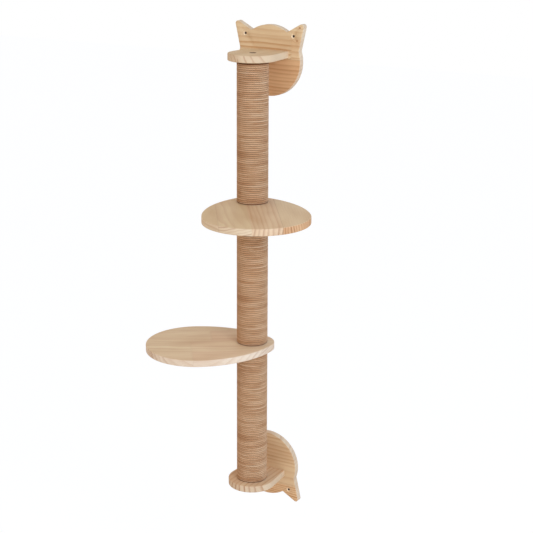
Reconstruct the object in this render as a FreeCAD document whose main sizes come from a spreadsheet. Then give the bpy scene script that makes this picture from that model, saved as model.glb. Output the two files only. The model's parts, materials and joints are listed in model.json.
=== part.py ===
"""Wall mounted cat tree: a rope-wound post held off the wall by two cat-head brackets.

Two identical brackets, the lower one upside down, each join a cat-head wall plate to a
round-nosed shelf. Three rope-wound sections of tube stand between the shelves, with two
egg-shaped platforms clamped between the sections, each free to be swung about the post.

Millimetres. The origin is on the wall face, midway between the upper plate's two wall-screw
holes. +X points to the right of a viewer who faces the wall, +Y into the wall, +Z up.
"""

import FreeCAD, Part
import Sketcher
import math
import os

Vector = FreeCAD.Vector
UP = Vector(0, 0, 1)

doc = FreeCAD.newDocument("wall_mounted_cat_tree")

# ---------------------------------------------------------------------------
# Driving dimensions
# ---------------------------------------------------------------------------

DIMENSIONS = {
    # boards
    "board": 20,                    # thickness of every pine board
    # cat-head wall plate, measured on its round head
    "head_radius": 100,
    "head_drop": 72,                # from the line of the wall-screw holes to the head's centre
    "ear_valley": 57,               # half the width of the dome between the ears
    "ear_reach": 110,               # outermost point of an ear, from the middle of the plate
    "ear_height": 106,              # highest point of an ear, above the head's centre
    "ear_tip_radius": 8,
    "ear_root_rise": 31,            # where the ear's outer edge meets the head, above its centre
    "wall_hole_spacing": 155,
    "wall_hole": 6,
    "wall_hole_mouth": 12,          # countersink
    # bracket shelf
    "shelf_drop": 41,               # from the line of the wall-screw holes to the shelf's outer face
    "post_standoff": 108,           # post axis to wall
    "nose_radius": 70,
    "shelf_root": 126,              # width where the shelf meets the wall plate
    "bolt_pocket": 20,              # counterbore round the bolt head
    "bolt_pocket_depth": 7,
    "bolt_hole": 8.5,
    # screws that join a shelf to its wall plate
    "screw_spacing": 70,
    "screw_diameter": 4,
    "screw_head": 8,
    "screw_length": 50,
    # egg-shaped platforms
    "egg_narrow_radius": 65,        # narrow end, centred on the post
    "egg_wide_radius": 150,
    "egg_centres": 160,             # between the centres of the two ends
    "egg_side_radius": 265,
    "pivot_hole": 8.2,
    "middle_turn": 34.7,            # degrees from straight out of the wall, towards the right
    "lower_turn": -54.5,
    # post sections
    "section": 400,                 # upper and middle sections
    "lower_section": 412,
    "tube_radius": 39.5,
    "tube_wall": 5,
    "plug": 18,
    "rope": 5.5,
    "rope_pitch": 6,
    "rope_loops": 3,                # turns shown at the foot of each section
    # metal parts
    "bolt": 8,
    "bolt_length": 30,
    "head_across_flats": 13,
    "bolt_head": 5.3,
    "washer_outer": 16,
    "washer_bore": 8.4,
    "washer_thickness": 1.6,
    "stud_length": 60,
    "insert": 12,
}

sheet = doc.addObject("Spreadsheet::Sheet", "Sizes")
for row, (alias, value) in enumerate(DIMENSIONS.items(), start=1):
    sheet.set(f"A{row}", alias)
    sheet.set(f"B{row}", str(value))
    sheet.setAlias(f"B{row}", alias)
doc.recompute()


def size(alias):
    """The value of one driving dimension."""
    return float(sheet.get(alias))


def bind(obj, **expressions):
    """Tie properties to cells of the sheet: @ stands before a cell's name, __ for a dot."""
    for name, expression in expressions.items():
        obj.setExpression(name.replace("__", "."), expression.replace("@", "Sizes."))


# Levels below the upper wall-screw holes, as expressions on the sheet.
UPPER_SHELF_INNER = "-(@shelf_drop + @board)"
POST_AXIS_Y = "-@post_standoff"

# The post's sections from the top down, each with the cell that holds its length.
SECTIONS = (("upper", "section"), ("middle", "section"), ("lower", "lower_section"))


def section_foot(index):
    """Level of the lower end of a post section; section 0 is the uppermost."""
    lengths = " - ".join("@" + length for _, length in SECTIONS[:index + 1])
    return f"{UPPER_SHELF_INNER} - {lengths} - {index} * @board"


LOWER_SHELF_INNER = section_foot(2)
LOWER_SCREW_LINE = f"{LOWER_SHELF_INNER} - @board - @shelf_drop"
UPSIDE_DOWN = FreeCAD.Rotation(Vector(0, 1, 0), 180)
OUT_OF_WALL = FreeCAD.Rotation(Vector(1, 0, 0), 90)

ROPE_SIDES = 4          # the rope's round section as a polygon, a corner outwards
ROPE_GAP = 0.5          # between the wound turns and the sleeve above them

subparts = []


def place(obj, x=0, y="0", z="0", rotation=None):
    """Put a sub-part at its place; y and z are expressions on the sheet."""
    obj.Placement = FreeCAD.Placement(Vector(x, 0, 0), rotation or FreeCAD.Rotation())
    bind(obj, Placement__Base__y=y, Placement__Base__z=z)
    return obj


def name_subpart(obj, label):
    """Name an object as one of the separate pieces, which gives its file its name."""
    obj.Label = label
    subparts.append(obj)
    return obj


# ---------------------------------------------------------------------------
# Sketch and feature helpers
# ---------------------------------------------------------------------------

def new_sketch(body, plane, name, offset=None):
    """A sketch on one of the body's origin planes, or at an offset from it."""
    support = next(f for f in body.Origin.OriginFeatures if f.Role == plane)
    sketch = body.newObject("Sketcher::SketchObject", name)
    sketch.AttachmentSupport = [(support, "")]
    sketch.MapMode = "FlatFace"
    if offset:
        bind(sketch, AttachmentOffset__Base__z=offset)
    return sketch


def add_arc(sketch, centre, radius, start_degrees, end_degrees):
    """A counter-clockwise arc; returns its index."""
    circle = Part.Circle(centre, UP, radius)
    arc = Part.ArcOfCircle(circle, math.radians(start_degrees), math.radians(end_degrees))
    return sketch.addGeometry(arc, False)


def add_line(sketch, start, end):
    return sketch.addGeometry(Part.LineSegment(start, end), False)


def constrain(sketch, kind, *arguments):
    sketch.addConstraint(Sketcher.Constraint(kind, *arguments))


def drive(sketch, kind, *arguments, by):
    """A dimension of the sketch tied to the sheet; the last argument is its first value."""
    index = sketch.addConstraint(Sketcher.Constraint(kind, *arguments))
    sketch.setExpression(f"Constraints[{index}]", by.replace("@", "Sizes."))


def add_circle(sketch, diameter):
    """A circle of a driven diameter about the sketch's origin."""
    circle = sketch.addGeometry(Part.Circle(Vector(), UP, size(diameter) / 2), False)
    constrain(sketch, "Coincident", circle, 3, -1, 1)
    drive(sketch, "Diameter", circle, size(diameter), by=f"@{diameter}")


def add_circle_pair(sketch, diameter, spacing, height=0.0, height_by=None):
    """Two equal circles, one on each side of the middle, at a height over the sketch's origin."""
    half = size(spacing) / 2
    right, left = (
        sketch.addGeometry(Part.Circle(Vector(x, height, 0), UP, size(diameter) / 2), False)
        for x in (half, -half)
    )
    constrain(sketch, "Equal", right, left)
    constrain(sketch, "Symmetric", right, 3, left, 3, -2)
    drive(sketch, "Diameter", right, size(diameter), by=f"@{diameter}")
    drive(sketch, "DistanceX", -1, 1, right, 3, half, by=f"@{spacing} / 2")
    if height > 0:
        drive(sketch, "DistanceY", -1, 1, right, 3, height, by=height_by)
    elif height < 0:
        drive(sketch, "DistanceY", right, 3, -1, 1, -height, by=height_by)
    else:
        constrain(sketch, "PointOnObject", right, 3, -1)


def polar(centre, radius, degrees):
    angle = math.radians(degrees)
    return centre + Vector(radius * math.cos(angle), radius * math.sin(angle), 0)


def touch_angle(point, centre, radius, side):
    """Direction from a circle's centre to where a line from an outside point touches it."""
    offset = point - centre
    half = math.degrees(math.acos(radius / offset.Length))
    return math.degrees(math.atan2(offset.y, offset.x)) + side * half


def pad(body, sketch, length):
    feature = body.newObject("PartDesign::Pad", sketch.Name + "_pad")
    feature.Profile = sketch
    bind(feature, Length=length)
    sketch.Visibility = False
    return feature


def drill(body, sketch, diameter, depth=None, mouth=None, mouth_depth=None, reverse=False):
    """Drill at each circle of the sketch, through the board or to a depth.

    A mouth without a depth is a countersink, one with a depth a counterbore.
    """
    doc.recompute()
    volume_before = body.Shape.Volume
    feature = body.newObject("PartDesign::Hole", sketch.Name + "_hole")
    feature.Profile = sketch
    feature.Reversed = reverse
    feature.DrillPoint = "Flat"
    bind(feature, Diameter=f"@{diameter}")
    feature.DepthType = "Dimension" if depth else "ThroughAll"
    if depth:
        bind(feature, Depth=depth)
    if mouth:
        feature.HoleCutType = "Counterbore" if mouth_depth else "Countersink"
        feature.HoleCutCustomValues = True
        bind(feature, HoleCutDiameter=f"@{mouth}")
    if mouth_depth:
        bind(feature, HoleCutDepth=f"@{mouth_depth}")
    elif mouth:
        feature.HoleCutCountersinkAngle = 90
    sketch.Visibility = False
    doc.recompute()
    if body.Shape.Volume > volume_before - 1:
        raise RuntimeError(f"{body.Name}: {sketch.Name} cuts nothing")
    return feature


def cylinder(name, radius, height, z="0"):
    solid = doc.addObject("Part::Cylinder", name)
    bind(solid, Radius=radius, Height=height, Placement__Base__z=z)
    return solid


def cone(name, lower, upper, height):
    solid = doc.addObject("Part::Cone", name)
    bind(solid, Radius1=lower, Radius2=upper, Height=height)
    return solid


def fuse(name, *solids):
    whole = doc.addObject("Part::MultiFuse", name)
    whole.Shapes = list(solids)
    return whole


def cut(name, base, tool):
    rest = doc.addObject("Part::Cut", name)
    rest.Base = base
    rest.Tool = tool
    return rest


def group(name, members):
    """Like pieces that belong together, as separate solids in one node."""
    compound = doc.addObject("Part::Compound", name)
    compound.Links = members
    return compound


# ---------------------------------------------------------------------------
# Brackets: cat-head wall plate, shelf, and the joint between them
# ---------------------------------------------------------------------------

def draw_cat_head(sketch):
    """A round head and two straight-sided ears with rounded tips, as one outline."""
    radius = size("head_radius")
    head = Vector(0, -size("head_drop"), 0)
    valley = math.degrees(math.acos(size("ear_valley") / radius))
    waist = math.degrees(math.asin(size("ear_root_rise") / radius))
    tip_radius = size("ear_tip_radius")
    tip = head + Vector(size("ear_reach") - tip_radius, size("ear_height") - tip_radius, 0)
    other_tip = Vector(-tip.x, tip.y, 0)
    outer = touch_angle(polar(head, radius, waist), tip, tip_radius, 1)
    inner = touch_angle(polar(head, radius, valley), tip, tip_radius, -1) + 360

    dome = add_arc(sketch, head, radius, valley, 180 - valley)
    chin = add_arc(sketch, head, radius, 180 - waist, 360 + waist)
    right_outer = add_line(sketch, polar(head, radius, waist), polar(tip, tip_radius, outer))
    right_tip = add_arc(sketch, tip, tip_radius, outer, inner)
    right_inner = add_line(sketch, polar(tip, tip_radius, inner), polar(head, radius, valley))
    left_inner = add_line(
        sketch, polar(head, radius, 180 - valley), polar(other_tip, tip_radius, 180 - inner)
    )
    left_tip = add_arc(sketch, other_tip, tip_radius, 180 - inner, 180 - outer)
    left_outer = add_line(
        sketch, polar(other_tip, tip_radius, 180 - outer), polar(head, radius, 180 - waist)
    )

    corners = ((chin, right_outer), (right_inner, dome), (dome, left_inner), (left_outer, chin))
    for end, start in corners:
        constrain(sketch, "Coincident", end, 2, start, 1)
    for line_up, tip_arc, line_down in (
        (right_outer, right_tip, right_inner), (left_inner, left_tip, left_outer)
    ):
        constrain(sketch, "Tangent", line_up, 2, tip_arc, 1)
        constrain(sketch, "Tangent", tip_arc, 2, line_down, 1)
    constrain(sketch, "Coincident", dome, 3, chin, 3)
    constrain(sketch, "PointOnObject", dome, 3, -2)
    constrain(sketch, "Equal", dome, chin)
    constrain(sketch, "Equal", right_tip, left_tip)
    constrain(sketch, "Symmetric", right_tip, 3, left_tip, 3, -2)
    constrain(sketch, "Horizontal", dome, 1, dome, 2)
    constrain(sketch, "Horizontal", chin, 1, chin, 2)
    drive(sketch, "DistanceY", dome, 3, -1, 1, size("head_drop"), by="@head_drop")
    drive(sketch, "Radius", dome, radius, by="@head_radius")
    drive(sketch, "Radius", right_tip, tip_radius, by="@ear_tip_radius")
    drive(sketch, "DistanceX", -1, 1, dome, 1, size("ear_valley"), by="@ear_valley")
    drive(sketch, "DistanceY", dome, 3, chin, 2, size("ear_root_rise"), by="@ear_root_rise")
    drive(sketch, "DistanceX", -1, 1, right_tip, 3, tip.x, by="@ear_reach - @ear_tip_radius")
    drive(sketch, "DistanceY", dome, 3, right_tip, 3, tip.y - head.y,
          by="@ear_height - @ear_tip_radius")


def wall_plate(label, **where):
    """The cat-head plate that goes against the wall, its back in the plane Y = 0."""
    body = doc.addObject("PartDesign::Body", label)
    outline = new_sketch(body, "XZ_Plane", label + "_outline")
    draw_cat_head(outline)
    pad(body, outline, "@board")
    wall_holes = new_sketch(body, "XZ_Plane", label + "_wall_holes", offset="@board")
    add_circle_pair(wall_holes, "wall_hole", "wall_hole_spacing")
    drill(body, wall_holes, "wall_hole", mouth="wall_hole_mouth")

    shelf_middle = -(size("shelf_drop") + size("board") / 2)
    screws = new_sketch(body, "XZ_Plane", label + "_screws")
    add_circle_pair(
        screws, "screw_diameter", "screw_spacing", shelf_middle, "@shelf_drop + @board / 2"
    )
    drill(body, screws, "screw_diameter", mouth="screw_head", reverse=True)
    return name_subpart(place(body, **where), label)


def draw_shelf(sketch):
    """A round nose about the post axis and straight sides that close in towards the wall."""
    radius = size("nose_radius")
    root = size("shelf_root") / 2
    reach = size("post_standoff") - size("board")
    right_corner = Vector(root, reach, 0)
    left_corner = Vector(-root, reach, 0)
    touch = touch_angle(right_corner, Vector(), radius, -1)
    nose = add_arc(sketch, Vector(), radius, 180 - touch, 360 + touch)
    right = add_line(sketch, polar(Vector(), radius, touch), right_corner)
    back = add_line(sketch, right_corner, left_corner)
    left = add_line(sketch, left_corner, polar(Vector(), radius, 180 - touch))
    constrain(sketch, "Tangent", nose, 2, right, 1)
    constrain(sketch, "Coincident", right, 2, back, 1)
    constrain(sketch, "Coincident", back, 2, left, 1)
    constrain(sketch, "Tangent", left, 2, nose, 1)
    constrain(sketch, "Coincident", nose, 3, -1, 1)
    constrain(sketch, "Symmetric", right, 2, left, 1, -2)
    drive(sketch, "Radius", nose, radius, by="@nose_radius")
    drive(sketch, "DistanceX", -1, 1, right, 2, root, by="@shelf_root / 2")
    drive(sketch, "DistanceY", -1, 1, right, 2, reach, by="@post_standoff - @board")


def bracket_shelf(label, **where):
    """The shelf that carries one end of the post. Z = 0 is the face towards the post."""
    body = doc.addObject("PartDesign::Body", label)
    outline = new_sketch(body, "XY_Plane", label + "_outline")
    draw_shelf(outline)
    pad(body, outline, "@board")
    bolt = new_sketch(body, "XY_Plane", label + "_bolt", offset="@board")
    add_circle(bolt, "bolt_hole")
    drill(body, bolt, "bolt_hole", mouth="bolt_pocket", mouth_depth="bolt_pocket_depth")

    screws = new_sketch(body, "XZ_Plane", label + "_screws", offset="-(@post_standoff - @board)")
    add_circle_pair(screws, "screw_diameter", "screw_spacing", size("board") / 2, "@board / 2")
    drill(body, screws, "screw_diameter", depth="@screw_length - @board", reverse=True)
    return name_subpart(place(body, **where), label)


def wood_screw(name):
    """A countersunk wood screw with its axis along Z, from the face of its head."""
    head_height = "(@screw_head - @screw_diameter) / 2"
    head = cone(name + "_head", "@screw_head / 2", "@screw_diameter / 2", head_height)
    shank = cylinder(name + "_shank", "@screw_diameter / 2", f"@screw_length - {head_height}",
                     z=head_height)
    return fuse(name, head, shank)


def bracket_screws(label):
    """Two screws for each bracket, driven from the back of its plate into its shelf."""
    half_spacing = size("screw_spacing") / 2
    upper = "-(@shelf_drop + @board / 2)"
    lower = f"{LOWER_SCREW_LINE} + @shelf_drop + @board / 2"
    screws = []
    for z in (upper, lower):
        for x in (-half_spacing, half_spacing):
            screw = wood_screw(f"{label}_{len(screws)}")
            screws.append(place(screw, x, z=z, rotation=OUT_OF_WALL))
    return name_subpart(group(label, screws), label)


# ---------------------------------------------------------------------------
# Platforms
# ---------------------------------------------------------------------------

def draw_egg(sketch):
    """Four arcs in tangency: narrow end about the post, wide end, and two equal sides."""
    narrow = size("egg_narrow_radius")
    wide = size("egg_wide_radius")
    side = size("egg_side_radius")
    length = size("egg_centres")
    wide_centre = Vector(0, -length, 0)
    side_y = ((side - wide) ** 2 - (side - narrow) ** 2 - length ** 2) / (2 * length)
    side_x = math.sqrt((side - narrow) ** 2 - side_y ** 2)
    narrow_touch = math.degrees(math.atan2(-side_y, side_x))
    wide_touch = math.degrees(math.atan2(-length - side_y, side_x))

    narrow_end = add_arc(sketch, Vector(), narrow, narrow_touch, 180 - narrow_touch)
    wide_end = add_arc(sketch, wide_centre, wide, 180 - wide_touch, 360 + wide_touch)
    right = add_arc(sketch, Vector(-side_x, side_y, 0), side, wide_touch, narrow_touch)
    left = add_arc(sketch, Vector(side_x, side_y, 0), side, 180 - narrow_touch, 180 - wide_touch)
    for end, start in ((narrow_end, left), (left, wide_end), (wide_end, right), (right, narrow_end)):
        constrain(sketch, "Tangent", end, 2, start, 1)
    constrain(sketch, "Coincident", narrow_end, 3, -1, 1)
    constrain(sketch, "PointOnObject", wide_end, 3, -2)
    constrain(sketch, "Equal", left, right)
    drive(sketch, "DistanceY", wide_end, 3, -1, 1, length, by="@egg_centres")
    drive(sketch, "Radius", narrow_end, narrow, by="@egg_narrow_radius")
    drive(sketch, "Radius", wide_end, wide, by="@egg_wide_radius")
    drive(sketch, "Radius", right, side, by="@egg_side_radius")


def platform(label, turn, z):
    """An egg-shaped board that swings about the stud through its narrow end."""
    body = doc.addObject("PartDesign::Body", label)
    outline = new_sketch(body, "XY_Plane", label + "_outline")
    draw_egg(outline)
    pad(body, outline, "@board")
    pivot = new_sketch(body, "XY_Plane", label + "_pivot", offset="@board")
    add_circle(pivot, "pivot_hole")
    drill(body, pivot, "pivot_hole")
    place(body, y=POST_AXIS_Y, z=z, rotation=FreeCAD.Rotation(UP, size(turn)))
    return name_subpart(body, label)


# ---------------------------------------------------------------------------
# Post sections
# ---------------------------------------------------------------------------

def post_tube(label, z, length):
    body = doc.addObject("PartDesign::Body", label)
    ring = new_sketch(body, "XY_Plane", label + "_ring")
    for radius, by in (
        (size("tube_radius"), "@tube_radius"),
        (size("tube_radius") - size("tube_wall"), "@tube_radius - @tube_wall"),
    ):
        circle = ring.addGeometry(Part.Circle(Vector(), UP, radius), False)
        constrain(ring, "Coincident", circle, 3, -1, 1)
        drive(ring, "Radius", circle, radius, by=by)
    pad(body, ring, f"@{length}")
    return name_subpart(place(body, y=POST_AXIS_Y, z=z), label)


def in_both_ends(label, make, foot, length):
    """The same piece in the lower and the upper end of a section."""
    lower = place(make(label + "_lower"), y=POST_AXIS_Y, z=foot)
    upper = place(make(label + "_upper"), y=POST_AXIS_Y, z=f"{foot} + @{length} - @plug")
    return name_subpart(group(label, [lower, upper]), label)


def end_plug(name):
    """A wooden disc that closes the tube and holds a threaded insert."""
    disc = cylinder(name + "_disc", "@tube_radius - @tube_wall", "@plug")
    return cut(name, disc, cylinder(name + "_seat", "@insert / 2", "@plug"))


def threaded_insert(name):
    """A steel bush, threaded inside, as long as the plug is thick."""
    bush = cylinder(name + "_bush", "@insert / 2", "@plug")
    return cut(name, bush, cylinder(name + "_bore", "@bolt / 2", "@plug"))


def helix_point(radius, pitch, turn):
    """Point and direction of a helix that climbs one pitch in each turn."""
    angle = 2 * math.pi * turn
    point = Vector(radius * math.cos(angle), radius * math.sin(angle), pitch * turn)
    around = 2 * math.pi * radius
    direction = Vector(-around * math.sin(angle), around * math.cos(angle), pitch)
    return point, direction.normalize()


def biarc(start, start_direction, end, end_direction):
    """Two arcs that meet in tangency and leave and arrive in the given directions."""
    chord = end - start
    both = start_direction + end_direction
    square = 2 * (start_direction.dot(end_direction) - 1)
    linear = -2 * chord.dot(both)
    reach = (-linear - math.sqrt(linear ** 2 - 4 * square * chord.dot(chord))) / (2 * square)
    first_corner = start + start_direction * reach
    second_corner = end - end_direction * reach
    middle = (first_corner + second_corner) / 2
    arcs = []
    for begin, corner, finish in ((start, first_corner, middle), (middle, second_corner, end)):
        weight = math.cos((corner - begin).getAngle(finish - corner) / 2)
        crown = (begin + corner * (2 * weight) + finish) / (2 * (1 + weight))
        arcs.append(Part.Arc(begin, crown, finish).toShape())
    return arcs


def least_gap(radius, pitch, turns, thickness):
    """Smallest space between parts of the winding more than half a turn apart."""
    steps = 48
    points = [helix_point(radius, pitch, step / steps)[0] for step in range(int(turns * steps) + 1)]
    return min(
        (first - second).Length - thickness
        for index, first in enumerate(points)
        for second in points[index + steps // 2:]
    )


def rope_winding(length):
    """The rope on one section: its first turns as one tube, the rest as a plain sleeve."""
    rope = size("rope")
    pitch = size("rope_pitch")
    loops = int(size("rope_loops"))
    radius = size("tube_radius") + rope / 2
    edges = []
    for half_turn in range(2 * loops):
        edges += biarc(
            *helix_point(radius, pitch, half_turn / 2), *helix_point(radius, pitch, (half_turn + 1) / 2)
        )
    route = Part.Wire(edges)
    corners = [
        helix_point(radius, pitch, 0)[0] + Vector(math.cos(angle), 0, math.sin(angle)) * (rope / 2)
        for angle in (corner * 2 * math.pi / ROPE_SIDES for corner in range(ROPE_SIDES))
    ]
    section = Part.makePolygon(corners + corners[:1])
    turns = Part.makeSolid(route.makePipeShell([section], True, False))
    if turns.Volume < 0:
        turns.reverse()
    turns.translate(Vector(0, 0, rope / 2))

    foot = loops * pitch + rope + ROPE_GAP
    height = size(length) - foot
    sleeve = Part.makeCylinder(size("tube_radius") + rope, height)
    sleeve = sleeve.cut(Part.makeCylinder(size("tube_radius"), height))
    sleeve.translate(Vector(0, 0, foot))

    swept = route.Length * ROPE_SIDES * math.sin(2 * math.pi / ROPE_SIDES) * rope ** 2 / 8
    print(f"rope: {loops} turns, volume {turns.Volume:.0f} mm3 against {swept:.0f} swept,",
          f"least gap {least_gap(radius, pitch, loops, rope):.2f} mm")
    return Part.makeCompound([turns, sleeve])


def post_rope(name, foot, length):
    rope = doc.addObject("Part::Feature", name)
    rope.Shape = rope_winding(length)
    return place(rope, y=POST_AXIS_Y, z=foot)


# ---------------------------------------------------------------------------
# Bolts, washers and studs on the post axis
# ---------------------------------------------------------------------------

def hexagon_bolt(name):
    """A hexagon-head bolt. Z = 0 is the underside of its head."""
    head = doc.addObject("Part::Prism", name + "_head")
    head.Polygon = 6
    bind(head, Circumradius="@head_across_flats / sqrt(3)", Height="@bolt_head")
    shank = cylinder(name + "_shank", "@bolt / 2", "@bolt_length", z="-@bolt_length")
    return fuse(name, head, shank)


def washer(name):
    """A flat washer. Z = 0 is its lower face."""
    disc = cylinder(name + "_disc", "@washer_outer / 2", "@washer_thickness")
    bore = cylinder(name + "_bore", "@washer_bore / 2", "@washer_thickness")
    return cut(name, disc, bore)


def at_both_brackets(label, make, above_pocket):
    """One piece in the bolt pocket of each shelf, at a height over the pocket's floor."""
    floor = f"@board - @bolt_pocket_depth + {above_pocket}"
    top = place(make(label + "_top"), z=f"{UPPER_SHELF_INNER} + {floor}")
    bottom = place(make(label + "_bottom"), z=f"{LOWER_SHELF_INNER} - ({floor})",
                   rotation=UPSIDE_DOWN)
    return name_subpart(place(group(label, [top, bottom]), y=POST_AXIS_Y), label)


def joining_stud(label, platform_z):
    """A threaded rod through a platform, into the inserts above and below it."""
    stud = cylinder(label, "@bolt / 2", "@stud_length")
    middle = f"{platform_z} + @board / 2 - @stud_length / 2"
    return name_subpart(place(stud, y=POST_AXIS_Y, z=middle), label)


# ---------------------------------------------------------------------------
# The assembly
# ---------------------------------------------------------------------------

wall_plate("top_wall_plate")
bracket_shelf("top_bracket_shelf", y=POST_AXIS_Y, z=UPPER_SHELF_INNER)
wall_plate("bottom_wall_plate", z=LOWER_SCREW_LINE, rotation=UPSIDE_DOWN)
bracket_shelf("bottom_bracket_shelf", y=POST_AXIS_Y, z=LOWER_SHELF_INNER, rotation=UPSIDE_DOWN)
bracket_screws("bracket_screws")

ropes = []
for index, (section, length) in enumerate(SECTIONS):
    foot = section_foot(index)
    post_tube(f"{section}_post_tube", foot, length)
    in_both_ends(f"{section}_post_plugs", end_plug, foot, length)
    in_both_ends(f"{section}_post_inserts", threaded_insert, foot, length)
    ropes.append(post_rope(f"{section}_rope", foot, length))
name_subpart(group("ropes", ropes), "post_ropes")

for index, (level, turn) in enumerate((("middle", "middle_turn"), ("lower", "lower_turn"))):
    underside = f"{section_foot(index)} - @board"
    platform(f"{level}_platform", turn, underside)
    joining_stud(f"{level}_joining_stud", underside)

at_both_brackets("bracket_bolts", hexagon_bolt, "@washer_thickness")
at_both_brackets("bracket_bolt_washers", washer, "0")

# ---------------------------------------------------------------------------
# Checks and files
# ---------------------------------------------------------------------------

doc.recompute()
for obj in doc.Objects:
    if "Invalid" in obj.State or "Error" in obj.State:
        raise RuntimeError(f"{obj.Label} failed: {obj.State}")
for obj in subparts:
    if obj.Shape.isNull() or not obj.Shape.isValid():
        raise RuntimeError(f"{obj.Label} has no valid shape")

os.makedirs("parts", exist_ok=True)
for obj in subparts:
    obj.Shape.exportStep(f"parts/{obj.Label}.step")
    box = obj.Shape.BoundBox
    print(f"{obj.Label:24} {len(obj.Shape.Solids)} solid(s)",
          f"X {box.XMin:8.1f} {box.XMax:8.1f}  Y {box.YMin:8.1f} {box.YMax:8.1f}",
          f"Z {box.ZMin:8.1f} {box.ZMax:8.1f}")
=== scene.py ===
# %% [markdown]
# # A wall mounted cat tree
#
# The solids of the cat tree come from CAD and are already in place. This script dresses them:
# it eases the edges of the boards and gives them pine with a grain that runs through the wood,
# winds real rope round the post, and finishes the metal. Units are metres. The origin is on the
# wall, between the two screw holes of the upper plate; +X is right, -Y out of the wall, +Z up.

# %% Load the frame
import json
import math
from collections import namedtuple

import bmesh
import bpy
import numpy as np
from mathutils import Matrix, Vector

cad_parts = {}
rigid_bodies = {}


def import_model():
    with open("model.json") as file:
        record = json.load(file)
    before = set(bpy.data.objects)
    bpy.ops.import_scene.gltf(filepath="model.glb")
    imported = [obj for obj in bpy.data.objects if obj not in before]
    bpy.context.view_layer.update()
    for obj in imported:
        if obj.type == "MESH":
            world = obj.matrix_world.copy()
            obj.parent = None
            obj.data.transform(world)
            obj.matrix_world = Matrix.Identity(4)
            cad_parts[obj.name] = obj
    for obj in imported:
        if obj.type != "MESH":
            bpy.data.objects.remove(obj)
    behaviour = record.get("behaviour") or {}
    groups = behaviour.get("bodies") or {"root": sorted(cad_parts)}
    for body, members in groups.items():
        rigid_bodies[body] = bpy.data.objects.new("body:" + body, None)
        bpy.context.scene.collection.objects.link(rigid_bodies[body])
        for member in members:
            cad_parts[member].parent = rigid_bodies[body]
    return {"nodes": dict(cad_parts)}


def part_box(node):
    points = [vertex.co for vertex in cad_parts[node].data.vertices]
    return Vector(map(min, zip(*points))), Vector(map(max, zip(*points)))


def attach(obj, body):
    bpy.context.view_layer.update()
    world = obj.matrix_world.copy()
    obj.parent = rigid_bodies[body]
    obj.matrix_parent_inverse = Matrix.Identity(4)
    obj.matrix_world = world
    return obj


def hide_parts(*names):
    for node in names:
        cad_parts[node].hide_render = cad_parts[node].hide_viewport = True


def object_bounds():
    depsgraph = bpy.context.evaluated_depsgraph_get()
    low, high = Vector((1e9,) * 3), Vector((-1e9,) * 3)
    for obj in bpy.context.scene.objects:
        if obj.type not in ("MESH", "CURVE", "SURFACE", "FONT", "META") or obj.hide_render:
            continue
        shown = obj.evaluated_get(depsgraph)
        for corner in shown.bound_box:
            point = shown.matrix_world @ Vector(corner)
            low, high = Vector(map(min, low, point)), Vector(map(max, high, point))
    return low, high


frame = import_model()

cad_box = [list(corner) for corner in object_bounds()]
nodes = frame["nodes"]
print(len(nodes), "nodes, CAD box", [[round(value, 3) for value in corner] for corner in cad_box])

# %% [markdown]
# ## Camera
#
# The picture was taken from the right and a little above the upper shelf, with a long lens, so
# the post stays nearly parallel from top to bottom. The place and the direction were found by
# matching known points of the object, and the axes below turn them into the camera's matrix.
# A camera looks along its own -Z, so its Z axis is the view direction turned round.

# %% Camera
POST_MIDDLE = Vector((0, -0.1, -0.65))

eye = Vector((1.8853, -3.2660, 0.4238))
view = Vector((-0.48278, 0.82945, -0.28096)).normalized()
roll = 0.0054

level_right = view.cross(Vector((0, 0, 1))).normalized()
level_up = level_right.cross(view)
right = level_right * math.cos(roll) + level_up * math.sin(roll)
up = level_up * math.cos(roll) - level_right * math.sin(roll)

camera_data = bpy.data.cameras.new("camera")
camera_data.lens = 89.95
camera_data.sensor_width = 36
camera_data.clip_end = 50
camera = bpy.data.objects.new("camera", camera_data)
axes = Matrix((right, up, -view)).transposed().to_4x4()
camera.matrix_world = Matrix.Translation(eye) @ axes
bpy.context.collection.objects.link(camera)
bpy.context.scene.camera = camera
bpy.context.scene.view_settings.view_transform = "Standard"
print("camera", round((eye - POST_MIDDLE).length, 2), "m from the post's middle")

# %% [markdown]
# ## Shader maths as plain expressions
#
# A material is a web of small nodes, which is slow to wire by hand. `Socket` wraps the output of
# a node, so that `rings * 2 + 1` adds the Math nodes by itself. `Web` owns the nodes of a material
# or of the world, and its method `node` makes any other node: its type, its settings first, then
# its inputs. `Finish` is the web of one material.

# %% A socket that can be used in sums
class Socket:
    """The output of a shader node, used in expressions like a number."""

    def __init__(self, web, output):
        self.web = web
        self.output = output

    def maths(self, operation, *others):
        values = dict(enumerate((self, *others)))
        return self.web.node("ShaderNodeMath", {"operation": operation}, values)

    def __add__(self, other):
        return self.maths("ADD", other)

    __radd__ = __add__

    def __sub__(self, other):
        return self.maths("SUBTRACT", other)

    def __rsub__(self, other):
        return self * -1 + other

    def __mul__(self, other):
        return self.maths("MULTIPLY", other)

    __rmul__ = __mul__

    def __truediv__(self, other):
        return self.maths("DIVIDE", other)

    def step(self, low, high):
        """0 below low, 1 above high and a smooth rise between them."""
        settings = {"interpolation_type": "SMOOTHSTEP"}
        return self.web.node(
            "ShaderNodeMapRange", settings, {"Value": self, "From Min": low, "From Max": high}
        )


print("sockets can be added, multiplied and turned into steps")

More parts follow.
